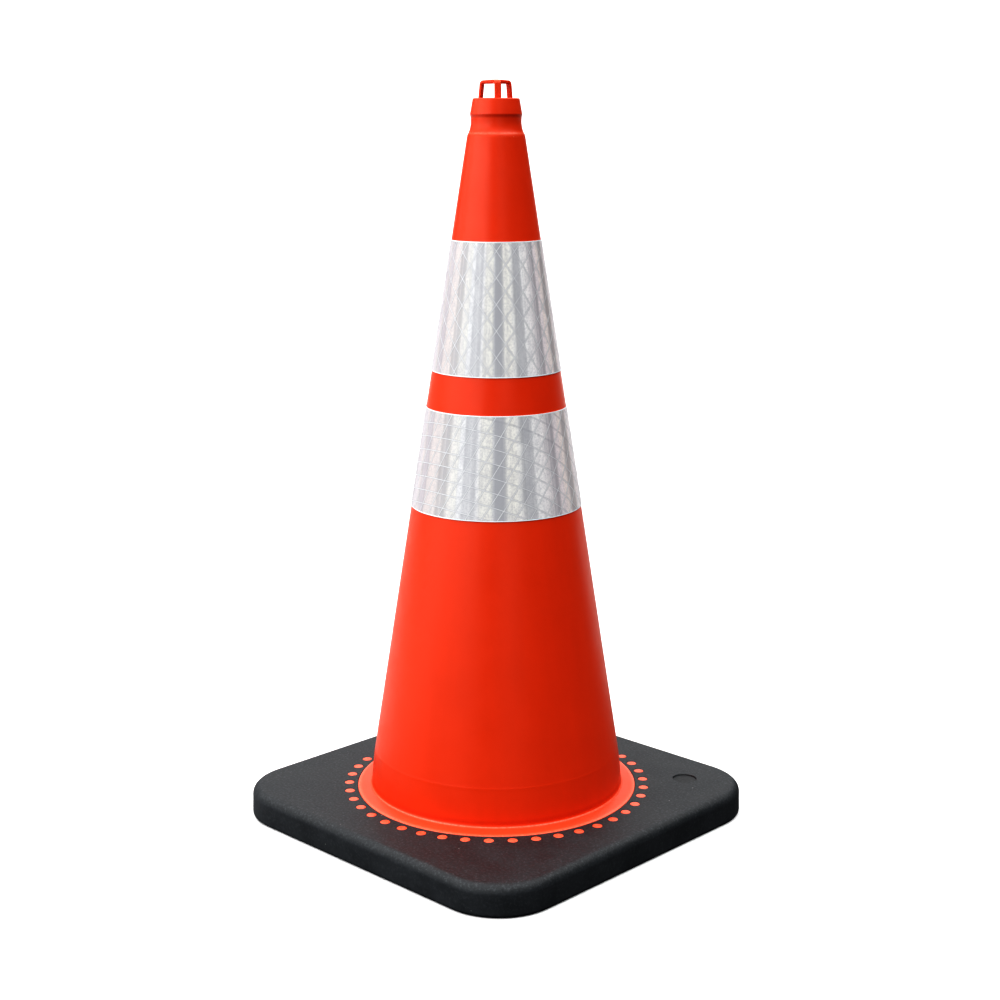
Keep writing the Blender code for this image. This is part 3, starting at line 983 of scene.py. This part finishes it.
def orange_vinyl():
    """Moulded soft vinyl: faint mottling and flow streaks, fine grain, painted shade under the ridge and at
    the wall's foot, pale worn edges, painted highlights at the foot, the flange's edge and the flare, and a
    painted sheen on up-facing surfaces.
    """
    shader = Shader("orange_vinyl_fine")
    height = shader.split()[2]
    mottle = shader.noise(scale=22.0, detail=3.0, rough=0.55)
    flow = shader.noise(scale=60.0, vector=shader.stretched(FLOW_STRETCH))
    tone = shader.plus(shader.times(mottle, 0.6), shader.times(flow, 0.4))
    darker = tuple(c * ORANGE_MOTTLE for c in ORANGE[:3]) + (1.0,)
    body = shader.mix(shader.fit(tone, (0.20, 0.80)), darker, ORANGE)

    breakup = shader.noise(scale=420.0, detail=4.0, rough=0.7)
    # Painted shade under the ridge and along the wall's foot, broken up by noise
    painted_shade = ring_masks(shader, height, SHADED_RINGS, clamp=True)
    painted_shade = shader.times(painted_shade, shader.fit(breakup, (0.25, 0.55), to=(0.55, 0.95)))
    body = shader.mix(painted_shade, body, ORANGE_SHADE, "MULTIPLY")
    # Painted highlights along the foot's fillet, the flange's edge and the flare
    painted_highlight = ring_masks(shader, height, HIGHLIGHT_RINGS)
    painted_highlight = shader.times(painted_highlight, shader.fit(breakup, (0.30, 0.65), to=(0.08, 0.26)))
    body = shader.mix(painted_highlight, body, ORANGE_PALE)
    patches = shader.fit(shader.noise(scale=34.0), (0.45, 0.70), to=(0.0, 0.5))
    worn = shader.times(ring_masks(shader, height, WORN_RINGS, clamp=True), patches)
    worn = shader.times(worn, shader.fit(breakup, (0.48, 0.72)))
    body = shader.mix(worn, body, ORANGE_PALE)
    # Painted sheen: up-facing surfaces are made paler
    upward = shader.split(shader.coordinates["Normal"])[2]
    body = shader.mix(shader.fit(upward, (0.75, 0.98), to=(0.0, 0.07)), body, ORANGE_PALE)

    grain = shader.noise(scale=1500.0, rough=0.6)
    relief = shader.times_plus(grain, 0.5, shader.noise(scale=380.0))
    haze = shader.noise(scale=45.0, detail=3.0, rough=0.6)
    return shader.finish(
        Base_Color=body,
        Roughness=shader.fit(haze, MIDRANGE, to=ORANGE_ROUGHNESS),
        Normal=shader.bump(relief, distance=0.00003, strength=0.35),
        IOR=ORANGE_IOR,
    )


def black_vinyl():
    """Recycled black rubber: matt, finely grained, with greyer scuffs and a few pale specks."""
    shader = Shader("black_rubber")
    mottle = shader.noise(scale=26.0, detail=4.0, rough=0.6)
    fine = shader.noise(scale=430.0, detail=4.0, rough=0.72)
    body = shader.mix(shader.fit(mottle, MIDRANGE), RUBBER_DARK, RUBBER_GREY)
    body = shader.mix(shader.fit(fine, (0.50, 0.68), to=(0.0, 0.60)), body, RUBBER_CRUMB)
    body = shader.mix(shader.fit(fine, (0.32, 0.50), to=(0.60, 0.0)), body, RUBBER_PORE)

    upward = shader.split(shader.coordinates["Normal"])[2]
    scuffed = shader.fit(upward, (0.10, 0.60), to=(0.45, 0.0))
    scuffed = shader.times(scuffed, shader.fit(mottle, (0.30, 0.60), to=(0.6, 1.0)))
    body = shader.mix(scuffed, body, RUBBER_SCUFF)
    edge = shader.times(shader.fit(upward, (0.10, 0.45)), shader.fit(upward, (0.80, 0.985), to=(1.0, 0.0)))
    scratch = shader.noise(scale=90.0, detail=4.0, rough=0.75, vector=shader.stretched(SCRATCH_STRETCH))
    worn = shader.times(shader.fit(scratch, (0.50, 0.68), to=(0.0, 0.10)), edge)
    body = shader.mix(worn, body, RUBBER_WORN)

    values = {"Vector": shader.place, "Scale": SPECK_DENSITY}
    near_speck = shader.node("ShaderNodeTexVoronoi", values, feature="F1").outputs["Distance"]
    speck = shader.fit(near_speck, SPECK_SIZE, to=(0.70, 0.0))
    body = shader.mix(speck, body, RUBBER_SPECK)

    x, y, _ = shader.split()
    away = shader.length(shader.joined(shader.minus(x, RECESS_CENTRE[0]), shader.minus(y, RECESS_CENTRE[1])))
    disc = shader.fit(away, (RECESS_RADIUS - RECESS_SLOPE, RECESS_RADIUS), to=(0.55, 0.0))
    body = shader.mix(disc, body, RUBBER_RECESS)

    relief = shader.times_plus(fine, 0.8, shader.noise(scale=1600.0, rough=0.6))
    return shader.finish(
        Base_Color=body,
        Roughness=shader.fit(mottle, MIDRANGE, to=RUBBER_ROUGHNESS),
        Normal=shader.bump(relief, distance=0.00006, strength=0.5),
        Specular_IOR_Level=RUBBER_SPECULAR,
    )


def flat_place(shader):
    """(turned, across, down): the angle from the front, and the place on the wall's flat pattern."""
    x, y, height = shader.split()
    turned = shader.minus(shader.math("ARCTAN2", y, x), FRONT_ANGLE)
    turned = shader.math("WRAP", turned, math.pi, -math.pi)
    theta = shader.times(turned, math.sin(CONE_ANGLE))
    slant = shader.minus(slant_at(0.0), shader.times(height, 1 / math.cos(CONE_ANGLE)))
    across = shader.times(slant, shader.math("SINE", theta))
    down = shader.times(slant, shader.math("COSINE", theta))
    return turned, across, down


def lattice(shader, across, down, families):
    """(cell, groove): a random number for each cell between the seal lines, and a mask that is 1 along the
    lines' edges, where the painted shadow goes.
    """
    numbers = []
    nearest = 1.0
    for family in families:
        right = shader.minus(across, family.origin.x)
        below = shader.minus(down, family.origin.y)
        along = shader.times_plus(right, family.along.x, shader.times(below, family.along.y))
        beside = shader.times_plus(right, family.across.x, shader.times(below, family.across.y))
        bowed = shader.times(shader.times(along, along), family.bend / 2)
        number = shader.math("DIVIDE", shader.minus(beside, bowed), family.spacing)
        numbers.append(shader.math("FLOOR", number))
        away = shader.math("ABSOLUTE", shader.minus(number, shader.math("ROUND", number)))
        nearest = shader.math("MINIMUM", nearest, shader.times(away, family.spacing))
    values = {"Vector": shader.joined(*numbers)}
    cell = shader.node("ShaderNodeTexWhiteNoise", values, noise_dimensions="3D").outputs["Value"]
    return cell, shader.fit(nearest, RIB_SHADOW_REACH, to=(1.0, 0.0))


def prismatic_film(name, families):
    """Silver-white film: painted reflections in upright light and dark bands that step from cell to cell,
    painted shade darker on the left and lighter on the right, a painted pink reflection at the sides, painted
    shadow along the seal lines, and faint colour.
    """
    shader = Shader(name)
    turned, across, down = flat_place(shader)
    cell, groove = lattice(shader, across, down, families)
    cell = shader.minus(cell, 0.5)
    sine = shader.math("SINE", turned)
    around = shader.joined(shader.math("COSINE", turned), sine)

    # Painted reflections: upright bands that drift, step from cell to cell and are streaked
    drift = shader.minus(shader.noise(scale=2.6, vector=around), 0.5)
    phase = shader.times(shader.minus(turned, BAND_START), BAND_COUNT)
    phase = shader.times_plus(drift, BAND_DRIFT, phase)
    phase = shader.times_plus(cell, BAND_STEP, phase)
    dark = shader.fit(shader.math("COSINE", phase), (-0.45, 0.85))
    depth = shader.fit(shader.noise(scale=5.5, detail=1.0, vector=around), (0.32, 0.62), to=(0.60, 1.0))
    # The painted bands are shallower on the left
    depth = shader.times(depth, shader.fit(sine, (-0.60, -0.05), to=(0.62, 1.0)))
    streak = shader.minus(shader.noise(scale=26.0, detail=3.0, rough=0.6, vector=around), 0.5)
    shade = shader.times_plus(streak, BAND_STREAKS, shader.times(dark, depth))
    shade = shader.times_plus(cell, CELL_SHADE, shade, clamp=True)
    body = shader.mix(shade, FILM_LIGHT, FILM_DARK)
    # Painted shade: the film darker towards the left and lighter towards the right
    painted_side_shade = shader.mix(shader.fit(sine, (-0.95, 0.85)), FILM_LEFT, FILM_RIGHT)
    body = shader.mix(1.0, body, painted_side_shade, "MULTIPLY")
    # Painted shadow along both edges of each seal line
    body = shader.mix(shader.times(groove, RIB_SHADOW_STRENGTH), body, FILM_RIB_SHADOW)

    # Painted reflection: a pink tint towards both sides
    side = shader.fit(shader.math("ABSOLUTE", sine), (0.45, 0.85))
    body = shader.mix(side, body, FILM_ROSE, "MULTIPLY")
    warm = shader.fit(shader.noise(scale=3.3, detail=1.0, vector=around), (0.50, 0.60), to=(0.0, 0.7))
    body = shader.mix(warm, body, FILM_WARM, "MULTIPLY")

    grain = shader.noise(scale=560.0, detail=3.0, rough=0.7)
    cloud = shader.noise(scale=170.0, detail=4.0, rough=0.6, vector=shader.stretched(CLOUD_STRETCH))
    body = shader.mix(shader.fit(grain, (0.34, 0.60), to=(0.34, 0.0)), body, FILM_GRAIN)
    body = shader.mix(shader.fit(cloud, (0.36, 0.60), to=(0.22, 0.0)), body, FILM_CLOUD)
    return shader.finish(
        Base_Color=body,
        Roughness=shader.fit(grain, MIDRANGE, to=FILM_ROUGHNESS),
        Normal=shader.bump(grain, distance=0.00002, strength=0.25),
        Specular_IOR_Level=FILM_SPECULAR,
    )


def welded_film(name, tones, roughness, tone_scale, grain_scale):
    """Film welded flat: an even tone with a little variation and no bands."""
    shader = Shader(name)
    tone = shader.fit(shader.noise(scale=tone_scale, detail=3.0), MIDRANGE)
    return shader.finish(
        Base_Color=shader.mix(tone, *tones),
        Roughness=shader.fit(tone, (0.0, 1.0), to=roughness),
        Normal=shader.bump(shader.noise(scale=grain_scale), distance=0.00002, strength=0.3),
    )


# -------------------------------- stage, lights, camera

CAMERA_PLACE = (1.10783, -1.13536, 0.66486)
CAMERA_TURN = (77.652, 0.0, 44.170)
CAMERA_LENS = 60.647
CAMERA_SENSOR = 36.0

FLOOR_SIZE = 60.0

# The floor that the camera sees is pale, and fades to white between these distances from the object
FLOOR_GREY = (0.90, 0.90, 0.90, 1.0)
FLOOR_FADE = (0.45, 1.10)

# The floor that light bounces off grows paler towards one side, between these distances along it
PALE_TOWARDS = FRONT_ANGLE - math.radians(150.0)
PALE_SPAN = (-0.05, 0.40)
FLOOR_BOUNCE = (0.07, 0.46)

# The rise over which the sky's light changes, and its strength at the horizon and overhead
DOME_EDGE = (0.45, 0.67)
DOME_LIGHT = (0.05, 1.45)

# Soft lights: degrees to the right of the camera, distance, height, width, tall, radiance, height aimed at
LIGHTS = {
    "key_high": (-59.0, 2.6, 1.47, 3.8, 0.85, 2.1, 0.35),
    "key_low": (-57.0, 2.6, 0.55, 3.8, 0.90, 0.85, 0.35),
    "side_left": (-112.0, 2.6, 1.30, 1.7, 1.2, 0.8, 0.35),
    "fill_front": (14.0, 2.6, 0.85, 1.2, 1.6, 0.45, 0.35),
    "top_left": (-100.0, 1.1, 2.30, 0.9, 0.9, 1.3, 0.35),
    "top_right": (75.0, 1.1, 2.30, 0.6, 0.6, 3.0, 0.35),
    "backdrop": (180.0, 2.8, 0.80, 2.8, 2.6, 0.60, 0.80),
}


def add_camera():
    data = bpy.data.cameras.new("photo_camera")
    data.lens = CAMERA_LENS
    data.sensor_width = CAMERA_SENSOR
    camera = bpy.data.objects.new("photo_camera", data)
    camera.location = CAMERA_PLACE
    camera.rotation_euler = [math.radians(turn) for turn in CAMERA_TURN]
    bpy.context.scene.collection.objects.link(camera)
    bpy.context.scene.camera = camera


def add_floor():
    builder = bmesh.new()
    bmesh.ops.create_grid(builder, x_segments=2, y_segments=2, size=FLOOR_SIZE / 2)
    shader = Shader("pale_floor")
    shader.tree.nodes.remove(shader.main)
    near = shader.node("ShaderNodeBsdfDiffuse", {"Color": FLOOR_GREY})
    far = shader.node("ShaderNodeEmission")
    fade = shader.fit(shader.length(shader.place), FLOOR_FADE)
    shown = shader.node("ShaderNodeMixShader", {0: fade, 1: near.outputs[0], 2: far.outputs[0]})
    values = {0: shader.place, 1: (math.cos(PALE_TOWARDS), math.sin(PALE_TOWARDS), 0.0)}
    side = shader.node("ShaderNodeVectorMath", values, operation="DOT_PRODUCT").outputs["Value"]
    pale = shader.fit(side, PALE_SPAN, to=FLOOR_BOUNCE)
    bounced = shader.node("ShaderNodeBsdfDiffuse", {"Color": pale})
    shader.end_stage(bounced, shown, "Material Output")
    floor = finish_object("floor", builder, shader.material)


def add_world():
    """Dark at the horizon and bright overhead, so walls are lit softly from above. White to the camera."""
    world = bpy.data.worlds.new("studio")
    bpy.context.scene.world = world
    world.use_nodes = True
    sky = Nodes(world.node_tree)
    rise = sky.split(sky.coordinates["Generated"])[2]
    lit = sky.tree.nodes["Background"]
    sky.plug(WHITE, lit.inputs["Color"])
    sky.plug(sky.fit(rise, DOME_EDGE, to=DOME_LIGHT), lit.inputs["Strength"])
    shown = sky.node("ShaderNodeBackground", {"Color": WHITE, "Strength": 1.0})
    sky.end_stage(lit, shown, "World Output")


def add_softbox(name, side, distance, height, width, tall, radiance, aim_height):
    """A soft rectangular light, as bright as its radiance says whatever its size."""
    data = bpy.data.lights.new(name, "AREA")
    data.shape = "RECTANGLE"
    data.size = width
    data.size_y = tall
    data.energy = radiance * math.pi * width * tall
    light = bpy.data.objects.new(name, data)
    angle = FRONT_ANGLE + math.radians(side)
    light.location = (distance * math.cos(angle), distance * math.sin(angle), height)
    away = Vector(light.location) - Vector((0.0, 0.0, aim_height))
    light.rotation_euler = away.to_track_quat("Z", "Y").to_euler()
    light.visible_camera = False
    bpy.context.scene.collection.objects.link(light)


# -------------------------------- all together

def main():
    orange = orange_vinyl()
    seal = welded_film("film_seal_lines", SEAL_TONES, SEAL_ROUGHNESS, tone_scale=260.0, grain_scale=1100.0)
    edge = welded_film("film_sealed_edge", EDGE_TONES, EDGE_ROUGHNESS, tone_scale=140.0, grain_scale=900.0)
    make_shell(orange)
    make_cage(orange)
    for node, families in (("upper_collar", UPPER_SEALS), ("lower_collar", LOWER_SEALS)):
        make_collar(node, families, prismatic_film(f"{node}_prismatic_film", families), seal, edge)
    make_base(black_vinyl())
    make_pegs(orange)
    add_floor()
    add_world()
    for name, settings in LIGHTS.items():
        add_softbox(name, *settings)
    add_camera()
    view = bpy.context.scene.view_settings
    view.view_transform = "Standard"
    view.look = "Very High Contrast"


main()
